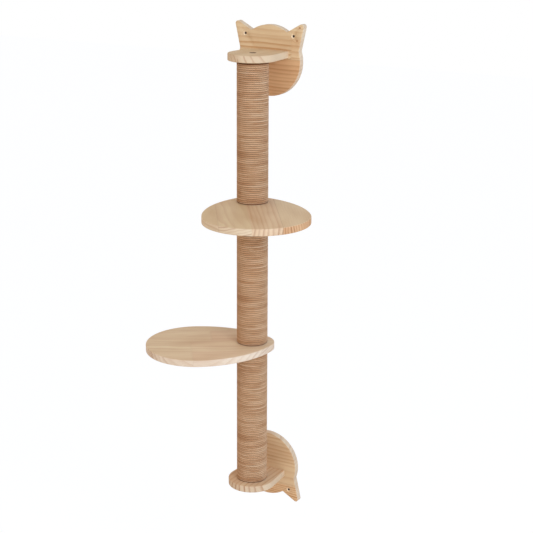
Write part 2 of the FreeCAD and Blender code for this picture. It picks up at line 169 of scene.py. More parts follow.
# %% A web of nodes
class Web:
    """The nodes of a material or of the world."""

    def __init__(self, tree):
        self.tree = tree

    def node(self, kind, settings=None, values=None, output=0):
        """Adds a node and returns the output to go on with."""
        made = self.tree.nodes.new(kind)
        for name, value in (settings or {}).items():
            if name == "stops":
                self.set_stops(made.color_ramp, value)
            else:
                setattr(made, name, value)
        for name, value in (values or {}).items():
            self.feed(made.inputs[name], value)
        return Socket(self, made.outputs[output])

    def feed(self, socket, value):
        if isinstance(value, Socket):
            self.tree.links.new(value.output, socket)
        else:
            socket.default_value = value

    def set_stops(self, ramp, stops):
        """Stops are (position, colour) pairs; the ramp starts with two of its own."""
        while len(ramp.elements) < len(stops):
            ramp.elements.new(1.0)
        for element, (position, colour) in zip(ramp.elements, stops):
            element.position = position
            element.color = colour

    def mix(self, factor, first, second, blend="MIX"):
        """Mixes two colours."""
        settings = {"data_type": "RGBA", "blend_type": blend}
        return self.node("ShaderNodeMix", settings, {0: factor, 6: first, 7: second}, output=2)

    def split(self, vector):
        """The three parts of a vector."""
        parts = self.node("ShaderNodeSeparateXYZ", None, {0: vector})
        outputs = parts.output.node.outputs
        return [Socket(self, outputs[axis]) for axis in range(3)]

    def join(self, x, y, z):
        return self.node("ShaderNodeCombineXYZ", None, {0: x, 1: y, 2: z})

    def measure(self, operation, *vectors):
        """One number from one or two vectors, such as a LENGTH or a DOT_PRODUCT."""
        values = dict(enumerate(vectors))
        return self.node("ShaderNodeVectorMath", {"operation": operation}, values, "Value")

    def noise(self, vector, scale, detail=2.0, roughness=0.5):
        """Cloudy noise between 0 and 1, about 0.5 on average."""
        values = {"Vector": vector, "Scale": scale, "Detail": detail, "Roughness": roughness}
        return self.node("ShaderNodeTexNoise", {"noise_dimensions": "3D"}, values)


print("webs can hold any node")

# %% A finish: one material and its nodes
class Finish(Web):
    """A material under construction, with its Principled shader as `surface`."""

    def __init__(self, name, **constants):
        self.material = bpy.data.materials.new(name)
        self.material.use_nodes = True
        super().__init__(self.material.node_tree)
        self.surface = self.tree.nodes["Principled BSDF"]
        for socket, value in constants.items():
            self.surface.inputs[socket.replace("_", " ")].default_value = value

    def finish_with(self, colour, roughness, height, depth):
        """Links what changes over the surface to the shader; depth is how deep the bumps are."""
        self.feed(self.surface.inputs["Base Color"], colour)
        self.feed(self.surface.inputs["Roughness"], roughness)
        values = {"Strength": 1.0, "Distance": depth, "Height": height}
        self.feed(self.surface.inputs["Normal"], self.node("ShaderNodeBump", None, values))
        print(f"finish {self.material.name}: {len(self.tree.nodes)} nodes")
        return self.material


def srgb(red, green, blue):
    """A colour as picked from a picture, made linear for the shader."""
    linear = []
    for channel in (red / 255, green / 255, blue / 255):
        linear.append(channel / 12.92 if channel < 0.04045 else ((channel + 0.055) / 1.055) ** 2.4)
    return (*linear, 1.0)


print("mid grey is", round(srgb(128, 128, 128)[0], 3), "in linear light")

# %% [markdown]
# ## Floor, world and lamps
#
# The object is shown against plain white, as if cut out of its room. The world looks white to
# the camera and in reflections, and lights the object with a softer grey, warm from the left and
# cooler from the right, as a room with a window on that side would. One broad lamp from the
# right front makes the right-hand edges of the boards the brightest surfaces and leaves the left
# side of the post darker, and a weak warm one from the left front softens that. The floor lies
# well below and still takes the object's shadow.

# %% World
LEFT_LIGHT = (0.73, 0.535, 0.35, 1)
RIGHT_LIGHT = (0.53, 0.61, 0.68, 1)
WHITE = (1, 1, 1, 1)
BLEND_REACH = 0.7                        # the two lights mix over this much of X to each side

world = bpy.data.worlds.new("studio")
world.use_nodes = True
bpy.context.scene.world = world
room = Web(world.node_tree)
camera_ray, glossy_ray, transmission_ray = (
    room.node("ShaderNodeLightPath", None, None, ray)
    for ray in ("Is Camera Ray", "Is Glossy Ray", "Is Transmission Ray")
)
seen = camera_ray.maths("MAXIMUM", glossy_ray).maths("MAXIMUM", transmission_ray)
sideways = room.split(room.node("ShaderNodeTexCoord", None, None, "Generated"))[0]
from_right = room.node("ShaderNodeMapRange", None,
                       {"Value": sideways, "From Min": -BLEND_REACH, "From Max": BLEND_REACH})
light = room.mix(from_right, LEFT_LIGHT, RIGHT_LIGHT)
background = room.tree.nodes["Background"]
room.feed(background.inputs["Color"], room.mix(seen, light, WHITE))
background.inputs["Strength"].default_value = 1.0
print("room light", LEFT_LIGHT[:3], "to", RIGHT_LIGHT[:3])

# %% Lamps
def soft_lamp(name, place, target, side, power, colour):
    """A square area lamp that looks at a point."""
    lamp_data = bpy.data.lights.new(name, "AREA")
    lamp_data.shape = "SQUARE"
    lamp_data.size = side
    lamp_data.energy = power
    lamp_data.color = colour
    lamp = bpy.data.objects.new(name, lamp_data)
    lamp.location = place
    direction = target - Vector(place)
    lamp.rotation_euler = direction.to_track_quat("-Z", "Y").to_euler()
    bpy.context.collection.objects.link(lamp)
    print(f"lamp {name}: {direction.length:.1f} m away")


soft_lamp("key_lamp", (3.3, -2.1, 0.9), POST_MIDDLE, 1.6, 74, (0.94, 0.97, 1.0))
soft_lamp("fill_lamp", (-1.6, -3.4, -0.2), POST_MIDDLE, 1.8, 7, (1.0, 0.80, 0.60))

# %% Floor
FLOOR_LEVEL = cad_box[0][2] - 0.45
FLOOR_WHITE = (0.9, 0.9, 0.9, 1)
GLOW = (0.99, 1.0, 1.03, 1)
GLOW_SHARE = 0.9                         # of what the camera sees; the rest takes the shadow

bpy.ops.object.select_all(action="DESELECT")
bpy.ops.mesh.primitive_grid_add(x_subdivisions=4, y_subdivisions=4, size=24)
floor = bpy.context.object
floor.name = "floor"
for corner in floor.data.vertices:
    corner.co.z = FLOOR_LEVEL

floor_finish = Finish("floor_white", Base_Color=FLOOR_WHITE, Roughness=0.9)
lit = Socket(floor_finish, floor_finish.surface.outputs[0])
glow = floor_finish.node("ShaderNodeEmission", None, {"Color": GLOW, "Strength": 1.045})
share = floor_finish.node("ShaderNodeLightPath", None, None, "Is Camera Ray") * GLOW_SHARE
both = floor_finish.node("ShaderNodeMixShader", None, {0: share, 1: lit, 2: glow})
floor_finish.feed(floor_finish.tree.nodes["Material Output"].inputs["Surface"], both)
floor.data.materials.append(floor_finish.material)
print("floor at", round(FLOOR_LEVEL, 3))

# %% [markdown]
# ## Pine boards
#
# Every board is pine, glued side by side from strips called staves, and some staves are joined
# end to end by short fingers. The growth rings run through the wood as sheets: on a face they
# show as lines along the grain and on an end as stripes through the thickness. A picture of
# grain on each face would break at the edges, so the pattern here fills space: a number that
# grows from sheet to sheet is worked out from the place inside the board, and its fraction
# gives the pale spring wood and the dark summer wood of every ring.
#
# A stave is given by its width and its ring spacing in millimetres, the slant of the sheets
# (0 stands them upright, 90 lays them flat), how far they bow, its tone, and how strongly the
# rings show on the faces and on the sawn edges. Some have reddish heart wood, which shows on the
# edges, and some change their tone at a finger joint, given by its place along the board. A joint
# far beyond either end of the board leaves the stave in one tone.

# %% Board coordinates and staves
MM = 0.001
GLUE = 0.35 * MM
POST_AXIS = Vector((0.0, -0.108, 0.0))
NO_JOINT = 400                           # mm along, past the end of every board
RAMP_SPACING = 40                        # a ramp holds numbers from 0 to 1, so these two scale
RAMP_BOW = 10                            # the ring spacing and the bow

Stave = namedtuple(
    "Stave", "width spacing slant bow tone face_rings edge_rings heart joint far_tone",
    defaults=(0.0, NO_JOINT, 0.5),
)


def stave_ramps(finish, across, staves):
    """Stepped ramps over the board's width that hold the numbers of each stave."""
    width = sum(stave.width for stave in staves)
    reach = (across / (width * MM)) + 0.5
    shapes, tones, rings, glue = [], [], [], []
    start = 0.0
    for stave in staves:
        place = start / width
        centre = (start + stave.width / 2) / width
        shape = (stave.spacing / RAMP_SPACING, stave.slant / 180, stave.bow / RAMP_BOW, centre)
        shapes.append((place, shape))
        tones.append((place, (stave.tone, stave.joint / 1000 + 0.5, stave.far_tone, 1.0)))
        rings.append((place, (stave.face_rings, stave.edge_rings, stave.heart, 1.0)))
        start += stave.width
        glue.append(start / width)

    def stepped(stops):
        ramp = finish.node("ShaderNodeValToRGB", {"stops": stops}, {"Fac": reach})
        ramp.output.node.color_ramp.interpolation = "CONSTANT"
        return ramp

    shape = stepped(shapes)
    centre = Socket(finish, shape.output.node.outputs["Alpha"])
    middle = (centre - 0.5) * (width * MM)
    lines = [(0.0, (0, 0, 0, 1))]
    for place in glue[:-1]:
        for offset, level in ((-GLUE, 0), (0, 1), (GLUE, 0)):
            lines.append((place + offset / (width * MM), (level, level, level, 1)))
    seam = finish.node("ShaderNodeValToRGB", {"stops": lines}, {"Fac": reach})
    numbers = [finish.split(ramp) for ramp in (shape, stepped(tones), stepped(rings))]
    return *numbers, middle, seam


print("a stave is given by", ", ".join(Stave._fields))

# %% [markdown]
# Three details are added to the plain wood. At a finger joint the change of tone follows a zigzag.
# The sheets swell round a knot, which is a small brown cone through the board. And the wall of a
# drilled hole is painted dark as shade, while the mouth of a countersink gets a painted highlight.

# %% Joints, knots and holes
FINGER_PITCH = 4 * MM
FINGER_DEPTH = 8 * MM
KNOT_STRETCH = 1.8                       # a knot is this much longer along the grain
KNOT_BROWN = srgb(164, 98, 54)
# a painted highlight for a countersink's mouth, and painted shade for the wall of a bore
PAINTED_MOUTH_HIGHLIGHT = srgb(246, 226, 198)
PAINTED_BORE_SHADE = srgb(74, 38, 20)
SIDEWAYS = (1, 0, 0)
OUTWARD = (0, 1, 0)
UPWARD = (0, 0, 1)


def finger_joint(along, across, place):
    """1 past a zigzag joint across the grain and 0 before it, and the joint's own dark line."""
    zigzag = (across / FINGER_PITCH).maths("PINGPONG", 0.5)
    past_joint = along - place - zigzag * (2 * FINGER_DEPTH)
    line = 1 - past_joint.maths("ABSOLUTE").step(0.0001, 0.0005)
    return past_joint.step(-0.0002, 0.0002), line


def knot_marks(finish, along, across, knots):
    """Two masks for each knot: where the sheets swell round it, and its brown core."""
    marks = []
    for knot_along, knot_across, radius in knots:
        away = finish.join((along - knot_along) / KNOT_STRETCH, across - knot_across, 0.0)
        distance = finish.measure("LENGTH", away)
        swell = 1 - distance.step(0.0, radius * 4)
        core = 1 - distance.step(radius * 0.5, radius * 1.1)
        marks.append((swell, core))
    return marks


def paint_hole_shade_and_highlight(finish, colour, coordinates, thick, holes):
    """Paints shade into drilled holes and a highlight round their mouths, each hole given by two
    coordinates in the board's plane and two radii.
    """
    x, y, z = finish.split(coordinates)
    second = y if thick == UPWARD else z
    for hole_first, hole_second, bore, mouth in holes:
        away = finish.join(x - hole_first, second - hole_second, 0.0)
        distance = finish.measure("LENGTH", away)
        in_mouth = 1 - distance.step(mouth, mouth + 0.3 * MM)
        in_bore = 1 - distance.step(bore, bore + 0.4 * MM)
        # painted highlight on the mouth, painted shade on the bore's wall
        colour = finish.mix(in_mouth * 0.7, colour, PAINTED_MOUTH_HIGHLIGHT)
        colour = finish.mix(in_bore * 0.9, colour, PAINTED_BORE_SHADE)
    return colour


print("fingers", round(FINGER_PITCH / MM), "mm apart and", round(FINGER_DEPTH / MM), "mm deep")

# %% Pine
PALE_PINE = srgb(228, 210, 176)
PINK_PINE = srgb(225, 198, 168)
YELLOW_PINE = srgb(232, 213, 178)
ORANGE_PINE = srgb(232, 190, 146)
LIGHT_PINE = srgb(234, 219, 191)
ROSE_PINE = srgb(232, 209, 182)
# The edge colours are partly the paler wood of a sawn edge and partly a painted highlight where
# light catches the edges.
CREAM_EDGE = srgb(230, 213, 190)
BRIGHT_EDGE = srgb(242, 229, 208)
MILKY_EDGE = srgb(247, 236, 224)
WHITE_EDGE = srgb(228, 216, 200)
HEART_EDGE = srgb(224, 178, 134)
SUMMER_FACE = srgb(190, 138, 88)
SUMMER_END = srgb(166, 108, 70)
CLOUD_SHADE = srgb(196, 152, 104)
FIBRE_SHADE = srgb(176, 130, 88)
GLUE_BROWN = srgb(128, 88, 56)
SHEET_RISE = 0.03                        # how fast the sheets rise along the board


def pine(name, centre, turn, staves, shift=0.0, grain=SIDEWAYS, thick=UPWARD, pale=PALE_PINE,
         pink=PINK_PINE, cut=CREAM_EDGE, summer_start=0.30, holes=(), knots=()):
    """Solid pine. In the board's own axes, X runs along the grain and Z through the thickness.

    The tone of a stave goes from pale to pink, cut is the colour of a sawn edge, partly its own
    paler wood and partly a painted highlight, and shift moves the rings, so that no two boards are
    alike. Grain and thick are directions in the object.
    """
    finish = Finish(name, Specular_IOR_Level=0.35)
    coordinates = finish.node("ShaderNodeTexCoord", None, None, "Object")
    board = finish.node(
        "ShaderNodeMapping", {"vector_type": "TEXTURE"},
        {"Vector": coordinates, "Location": centre, "Rotation": turn},
    )
    along, across, through = finish.split(board)
    shape, tones, strengths, middle, seam = stave_ramps(finish, across, staves)
    spacing = shape[0] * (RAMP_SPACING * MM)
    slant = shape[1] * math.pi
    bow = shape[2] * RAMP_BOW
    far, joint_line = finger_joint(along, across, tones[1] - 0.5)
    tone = tones[0] + far * (tones[2] - tones[0])

    # Where the sheets lie: upright, flat or between, bowed, rising along the board, and wavy.
    bend = finish.join(along * 3 + far * 9 + shift, across * 14, through * 14)
    wave = finish.noise(bend, 1.0, 2.0)
    ripple = finish.noise(finish.join(along * 9 + far * 5, across * 60, through * 60), 1.0, 1.0)
    wander = (wave - 0.5) * 0.022 + (ripple - 0.5) * 0.0035
    marks = knot_marks(finish, along, across, knots)
    for swell, _ in marks:
        wander = wander + swell * 0.011
    offset = across - middle
    flat = through + bow * offset * offset + along * SHEET_RISE + far * 0.02
    upright = offset * slant.maths("COSINE") + flat * slant.maths("SINE")
    rings = (upright + wander + shift) / spacing
    phase = rings.maths("FRACT")
    strength = finish.node(
        "ShaderNodeTexWhiteNoise", {"noise_dimensions": "2D"},
        {"Vector": finish.join(rings.maths("FLOOR"), tone * 7, 0)},
    )
    summer = phase.step(summer_start, 0.90) * (1 - phase.step(0.92, 1.0)) * (strength * 0.6 + 0.4)

    # Fine fibres, and clouds of colour as large as a hand.
    fibre = finish.noise(finish.join(along * 18, across * 700, through * 700), 1.0, 2.0, 0.6)
    cloud = finish.noise(finish.join(along * 6 + shift, across * 22, through * 22), 1.0, 1.0)

    # The sawn and sanded edges are paler than the faces, partly their own colour and partly a
    # painted highlight where light catches them, and they show the rings more sharply.
    normal = finish.node("ShaderNodeTexCoord", None, None, "Normal")
    edge = 1 - finish.measure("DOT_PRODUCT", normal, thick).maths("ABSOLUTE").step(0.35, 0.85)
    end = finish.measure("DOT_PRODUCT", normal, grain).maths("ABSOLUTE").step(0.25, 0.85) * edge

    face_rings, edge_rings, heart = strengths
    spring_wood = finish.mix(tone, pale, pink)
    # the edges get the cut colour: paler wood with a painted highlight
    spring_wood = finish.mix(edge * 0.75, spring_wood, cut)
    spring_wood = finish.mix(edge * heart * 0.7, spring_wood, HEART_EDGE)
    summer_wood = finish.mix(end, SUMMER_FACE, SUMMER_END)
    depth = face_rings + (edge_rings - face_rings) * (edge + end) * 0.5
    colour = finish.mix(summer * depth, spring_wood, summer_wood)
    colour = finish.mix((cloud - 0.5) * 0.7 + 0.12, colour, CLOUD_SHADE, "MULTIPLY")
    colour = finish.mix((0.62 - fibre) * 0.45, colour, FIBRE_SHADE)
    dark_line = seam.maths("MAXIMUM", joint_line) * 0.38
    colour = finish.mix(dark_line, colour, GLUE_BROWN)
    for _, core in marks:
        colour = finish.mix(core * 0.75, colour, KNOT_BROWN)
    colour = paint_hole_shade_and_highlight(finish, colour, coordinates, thick, holes)

    roughness = 0.62 - summer * 0.10 + (fibre - 0.5) * 0.16
    height = summer * 0.5 + fibre * 0.5 - dark_line
    return finish.finish_with(colour, roughness, height, 0.25 * MM)


print("the sheets rise", round(SHEET_RISE * 100), "cm in a metre of board")

# %% [markdown]
# ## Easing the edges
#
# A real board never has a knife-sharp edge: after the saw it is rounded over by hand, and that
# narrow curve catches the light all round the board. The CAD boards are sharp, so each one is
# copied, its loose triangles are merged into clean faces, and a Bevel modifier rounds every
# corner of its outline that turns by more than 30 degrees. The edges of holes stay sharp, and so
# does the end of a shelf that butts against its plate. The copy stands in for the CAD board.

# %% Round over one board
ROUNDOVER = 2.0 * MM


def select_only(piece):
    bpy.ops.object.select_all(action="DESELECT")
    piece.select_set(True)
    bpy.context.view_layer.objects.active = piece


def copy_node(node_name, name):
    """A copy of a CAD node with its triangles merged into clean faces."""
    select_only(nodes[node_name])
    bpy.ops.object.duplicate()
    piece = bpy.context.object
    piece.name = name
    piece.data.name = name
    bpy.ops.object.parent_clear(type="CLEAR_KEEP_TRANSFORM")
    bpy.ops.object.mode_set(mode="EDIT")
    bpy.ops.mesh.select_all(action="SELECT")
    bpy.ops.mesh.remove_doubles(threshold=0.00001)
    bpy.ops.mesh.dissolve_limited(angle_limit=math.radians(0.5))
    bpy.ops.object.mode_set(mode="OBJECT")
    return piece


def apply_modifier(piece, kind, **settings):
    modifier = piece.modifiers.new(kind.lower(), kind)
    for name, value in settings.items():
        setattr(modifier, name, value)
    select_only(piece)
    bpy.ops.object.modifier_apply(modifier=modifier.name)


def triangle_count(piece):
    piece.data.calc_loop_triangles()
    return len(piece.data.loop_triangles)


CORNER = math.radians(30)               # faces that turn by more than this meet in a corner


def mark_outline(piece, drilled, butted):
    """Gives a bevel weight to a board's corners, but not round its holes or at a butt joint."""
    mesh = bmesh.new()
    mesh.from_mesh(piece.data)
    weights = []
    for edge in mesh.edges:
        middle = (edge.verts[0].co + edge.verts[1].co) / 2
        in_hole = any((middle - hole).cross(axis).length < reach for hole, axis, reach in drilled)
        at_joint = butted is not None and middle.y > butted
        weights.append(float(edge.calc_face_angle(0) > CORNER and not in_hole and not at_joint))
    mesh.free()
    weight = piece.data.attributes.new("bevel_weight_edge", "FLOAT", "EDGE")
    weight.data.foreach_set("value", weights)
    print(f"{piece.name}: {int(sum(weights))} outline edges of {len(weights)}")


def ease_edges(piece, width, segments=3, limit="ANGLE"):
    apply_modifier(
        piece, "BEVEL", width=width, segments=segments, limit_method=limit,
        angle_limit=CORNER, use_clamp_overlap=False, loop_slide=False,
    )
    select_only(piece)
    bpy.ops.object.shade_smooth_by_angle(angle=math.radians(28))


def dress_board(node_name, name, body, material, drilled, butted=None):
    board = copy_node(node_name, name)
    mark_outline(board, drilled, butted)
    ease_edges(board, ROUNDOVER, limit="WEIGHT")
    board.data.materials.clear()
    board.data.materials.append(material)
    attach(board, body)
    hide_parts(node_name)
    print(f"{name}: {triangle_count(board)} triangles")


def middle_of(node_name):
    low, high = (Vector(corner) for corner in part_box(node_name))
    return (low + high) / 2


print("edges are rounded over by", round(ROUNDOVER / MM, 1), "mm")

# %% [markdown]
# ## The cat-head plates
#
# Each bracket starts with a plate in the outline of a cat's head, screwed to the wall. Its grain
# runs from ear to ear, with wide rings in the upper part and close ones below the shelf.

# %% Wall plates
QUARTER = math.radians(90)
FRONT_BOARD_TURN = (QUARTER, 0, 0)      # board axes: X stays, Y points up, Z comes out of the wall

WALL_HOLE_SIDE = 77.5 * MM              # from the middle line of a plate to a wall-screw hole
SHELF_SCREW_SIDE = 35 * MM
TOP_SCREW_LINE = 0.0
BOTTOM_SCREW_LINE = -1374 * MM
TOP_PLATE_KNOTS = [(98 * MM, 93 * MM, 2.6 * MM), (90 * MM, 57 * MM, 2.2 * MM)]

top_plate_staves = [
    Stave(107, 10.5, 8, 0.0, 1.0, 0.75, 0.25),
    Stave(57, 14, 12, 1.0, 0.25, 0.75, 0.25, joint=66, far_tone=0.45),
    Stave(42, 15, 30, 2.0, 0.2, 0.45, 0.25, joint=-NO_JOINT, far_tone=0.2),
]
bottom_plate_staves = [
    Stave(47, 6.5, 20, 1.0, 0.75, 1.0, 0.25),
    Stave(58, 21, 20, 1.0, 0.6, 0.35, 0.25, joint=-NO_JOINT, far_tone=0.4),
    Stave(101, 12, 10, 0.0, 0.5, 0.55, 0.25),
]


def screw_holes(level):
    """Place, bore radius and mouth radius of a plate's two wall-screw holes."""
    return [(side * WALL_HOLE_SIDE, level, 3.2 * MM, 6.0 * MM) for side in (-1, 1)]


top_middle = middle_of("top_wall_plate")
bottom_middle = middle_of("bottom_wall_plate")
top_plate_pine = pine("pine_top_plate", top_middle, FRONT_BOARD_TURN, top_plate_staves,
                      shift=0.011, thick=OUTWARD, pale=YELLOW_PINE, pink=ORANGE_PINE,
                      cut=WHITE_EDGE, holes=screw_holes(TOP_SCREW_LINE), knots=TOP_PLATE_KNOTS)
bottom_plate_pine = pine("pine_bottom_plate", bottom_middle, FRONT_BOARD_TURN,
                         bottom_plate_staves, shift=0.137, thick=OUTWARD,
                         pale=YELLOW_PINE, pink=ORANGE_PINE, cut=WHITE_EDGE,
                         holes=screw_holes(BOTTOM_SCREW_LINE))


def plate_drillings(screw_line, shelf_name):
    """Place, axis and reach of a plate's four holes: two for the wall, two for its shelf."""
    out = Vector(OUTWARD)
    shelf_level = middle_of(shelf_name).z
    rows = ((WALL_HOLE_SIDE, screw_line, 8 * MM), (SHELF_SCREW_SIDE, shelf_level, 6 * MM))
    return [(Vector((side * place, 0, level)), out, reach)
            for place, level, reach in rows for side in (-1, 1)]


dress_board("top_wall_plate", "top_cat_head_plate", "post_and_brackets",
            top_plate_pine, plate_drillings(TOP_SCREW_LINE, "top_bracket_shelf"))
dress_board("bottom_wall_plate", "bottom_cat_head_plate", "post_and_brackets",
            bottom_plate_pine, plate_drillings(BOTTOM_SCREW_LINE, "bottom_bracket_shelf"))

# %% [markdown]
# ## The bracket shelves
#
# The shelves have their grain from the wall to the nose, so the round nose shows end grain: the
# rings cross its thickness as stripes, slanting on the upper shelf and upright on the lower one.

# %% Bracket shelves
OUTWARD_TURN = (0, 0, -QUARTER)         # board axes: X points out of the wall, Y to the right

BOLT_POCKET = [(POST_AXIS.x, POST_AXIS.y, 10.1 * MM, 11.2 * MM)]
PLATE_FACE = -20.5 * MM                  # shelf corners behind this lie against their plate
POST_HOLE = [(POST_AXIS, Vector(UPWARD), 12 * MM)]

top_shelf_staves = [
    Stave(62, 13, 20, 0.0, 0.2, 0.3, 0.45),
    Stave(78, 19.5, 22, 0.0, 0.45, 0.3, 0.85),
]
bottom_shelf_staves = [
    Stave(66, 15.5, 176, 0.0, 1.0, 0.6, 0.9),
    Stave(74, 15.5, 4, 0.0, 0.9, 0.75, 0.9),
]
top_shelf_pine = pine("pine_top_shelf", middle_of("top_bracket_shelf"), OUTWARD_TURN,
                      top_shelf_staves, shift=0.052, grain=OUTWARD, summer_start=0.60,
                      holes=BOLT_POCKET)
bottom_shelf_pine = pine("pine_bottom_shelf", middle_of("bottom_bracket_shelf"), OUTWARD_TURN,
                         bottom_shelf_staves, shift=0.219, grain=OUTWARD, summer_start=0.45,
                         holes=BOLT_POCKET)
dress_board("top_bracket_shelf", "top_shelf", "post_and_brackets", top_shelf_pine,
            POST_HOLE, PLATE_FACE)
dress_board("bottom_bracket_shelf", "bottom_shelf", "post_and_brackets",
            bottom_shelf_pine, POST_HOLE, PLATE_FACE)

# %% [markdown]
# ## The platforms
#
# The two egg-shaped platforms are glued from staves about 88 mm wide that follow the long axis
# of the egg. The pattern is centred on the post and turned with the egg, and it stays with the
# wood when a platform is swung round.

# %% Platforms
def egg_axes(node_name, degrees):
    """Centre, turn and grain direction of a platform's own axes, with X along the egg."""
    level = middle_of(node_name).z
    turn = math.radians(degrees - 90)
    return (POST_AXIS.x, POST_AXIS.y, level), (0, 0, turn), (math.cos(turn), math.sin(turn), 0)


middle_staves = [
    Stave(42, 11, 84, 1.0, 0.1, 0.3, 0.5),
    Stave(85, 8.5, 112, 0.5, 0.15, 0.3, 0.5),
    Stave(85, 13, 172, 0.3, 0.75, 0.45, 0.6, 0.45),
    Stave(88, 7.2, 3, 0.1, 0.35, 0.15, 1.0, 1.2),
]
lower_staves = [
    Stave(46, 8, 78, 1.0, 0.4, 0.3, 0.5, joint=60, far_tone=0.1),
    Stave(89, 9, 84, 4.0, 0.95, 0.3, 0.5, joint=113, far_tone=0.25),
    Stave(88, 9, 80, 4.0, 0.45, 0.3, 0.7, joint=176, far_tone=0.1),
    Stave(77, 12, 28, 1.5, 0.9, 0.2, 0.38, joint=175, far_tone=0.3),
]
centre, turn, grain = egg_axes("middle_platform", 34.7)
middle_pine = pine("pine_middle_platform", centre, turn, middle_staves, shift=0.31, grain=grain,
                   cut=BRIGHT_EDGE)
dress_board("middle_platform", "middle_egg_platform", "middle_platform",
            middle_pine, POST_HOLE)
centre, turn, grain = egg_axes("lower_platform", -54.5)
lower_pine = pine("pine_lower_platform", centre, turn, lower_staves, shift=0.47, grain=grain,
                  pale=LIGHT_PINE, pink=ROSE_PINE, cut=MILKY_EDGE)
dress_board("lower_platform", "lower_egg_platform", "lower_platform", lower_pine,
            POST_HOLE)

# %% [markdown]
# ## Rope round the post
#
# Each section of the post is wound from foot to top with one length of jute rope, each turn hard
# against the last. A Screw modifier is made for this: it sweeps the rope's round section about
# the post while it climbs. Left alone, it climbs steadily and would leave a wedge of bare tube
# under the first turn. A rope wound by hand lies level for most of a turn and steps up behind,
# so the climb of every turn is moved to its last eighth, at the back, where the ends are too.
# Four attributes let the finish follow it: the distance along the rope, the way round it, how
# far out of the post a point lies, and where the rope meets a board.

# %% Wind one section
ROPE_RADIUS = 2.75 * MM
TUBE_RADIUS = 39.5 * MM
ROPE_SIDES = 9
STEPS_PER_TURN = 96
STEP_UP = 0.125                          # share of a turn in which the rope climbs
TURN_PITCH = 5.56 * MM


def wind_rope(name, foot, top, turns):
    """One rope from foot to top, its turns touching."""
    climb = (top - foot - 2 * ROPE_RADIUS) / turns
    bpy.ops.object.select_all(action="DESELECT")
    bpy.ops.mesh.primitive_circle_add(vertices=ROPE_SIDES, radius=ROPE_RADIUS)
    rope = bpy.context.object
    rope.name = name
    rope.data.name = name
    bpy.ops.object.mode_set(mode="EDIT")
    bpy.ops.mesh.select_all(action="SELECT")
    bpy.ops.transform.rotate(value=QUARTER, orient_axis="X", center_override=(0, 0, 0))
    bpy.ops.transform.translate(value=(TUBE_RADIUS + ROPE_RADIUS, 0, 0))
    bpy.ops.object.mode_set(mode="OBJECT")
    apply_modifier(
        rope, "SCREW", axis="Z", angle=2 * math.pi, screw_offset=climb, iterations=turns,
        steps=STEPS_PER_TURN, render_steps=STEPS_PER_TURN, use_normal_calculate=True,
    )
    return rope, climb


def level_turns(rope, climb):
    """Moves the climb of each turn to its last part, and writes the attributes."""
    count = len(rope.data.vertices)
    places = np.empty(count * 3)
    rope.data.vertices.foreach_get("co", places)
    places = places.reshape(-1, 3)
    turn = (np.arange(count) // ROPE_SIDES) / STEPS_PER_TURN
    fraction = turn - np.floor(turn)
    rise = np.clip((fraction - 1 + STEP_UP) / STEP_UP, 0, 1)
    rise = rise * rise * (3 - 2 * rise)
    places[:, 2] += climb * (rise - fraction)
    rope.data.vertices.foreach_set("co", places.reshape(-1))
    ring = places.reshape(-1, ROPE_SIDES, 3)
    above = (ring[:, :, 2] - ring[:, :, 2].mean(axis=1, keepdims=True)).reshape(-1) / ROPE_RADIUS
    outward = (np.hypot(places[:, 0], places[:, 1]) - TUBE_RADIUS) / ROPE_RADIUS - 1
    last_turn = turn[-1] - 1
    marks = {
        "along": turn * 2 * math.pi * (TUBE_RADIUS + ROPE_RADIUS),
        "girth": (np.arange(count) % ROPE_SIDES) / ROPE_SIDES,
        "outward": outward,
        "at_board": ((turn <= 1) & (above < 0.2)) | ((turn >= last_turn) & (above > 0.2)),
    }
    for mark, values in marks.items():
        attribute = rope.data.attributes.new(mark, "FLOAT", "POINT")
        attribute.data.foreach_set("value", np.asarray(values, dtype=np.float32))


def close_and_place(rope, foot):
    """Closes the two cut ends and moves the winding to the post, its ends at the back."""
    bpy.ops.object.mode_set(mode="EDIT")
    bpy.ops.mesh.select_all(action="SELECT")
    bpy.ops.mesh.fill_holes(sides=ROPE_SIDES)
    bpy.ops.mesh.select_all(action="SELECT")
    bpy.ops.mesh.normals_make_consistent(inside=False)
    bpy.ops.object.mode_set(mode="OBJECT")
    rope.rotation_euler = (0, 0, QUARTER)
    rope.location = (POST_AXIS.x, POST_AXIS.y, foot + ROPE_RADIUS)
    select_only(rope)
    bpy.ops.object.transform_apply(location=True, rotation=True, scale=True)
    bpy.ops.object.shade_smooth_by_angle(angle=math.radians(60))


print("rope", round(2 * ROPE_RADIUS / MM, 1), "mm thick on a tube of", round(2 * TUBE_RADIUS / MM))

# %% [markdown]
# ### Jute
#
# Jute rope is light brown, with pale and reddish fibres that twist round it in three strands.
# Two slanting waves over the girth and the length draw the strands and their fibres, and a
# slow noise along the rope changes its colour from turn to turn, as in a real ball of rope.
# Shade is painted into the creases between the strands and the grooves between the turns, and onto
# the first and last turns where they meet the boards.

# %% Jute finish
STRAND_LAY = 19 * MM                     # length of rope in which a strand goes round once
STRANDS = 3
JUTE_TAN = srgb(200, 150, 108)
JUTE_STRAW = srgb(242, 212, 180)
JUTE_DARK = srgb(172, 120, 80)
JUTE_PALE = srgb(238, 214, 184)
JUTE_FADED = srgb(226, 198, 168)
# The next three colours are painted shade: in the creases between strands, in the grooves between
# turns and where the rope meets a board.
JUTE_CREASE_SHADE = srgb(150, 100, 60)
JUTE_GROOVE_SHADE = srgb(104, 62, 32)
JUTE_BOARD_SHADE = srgb(104, 56, 26)


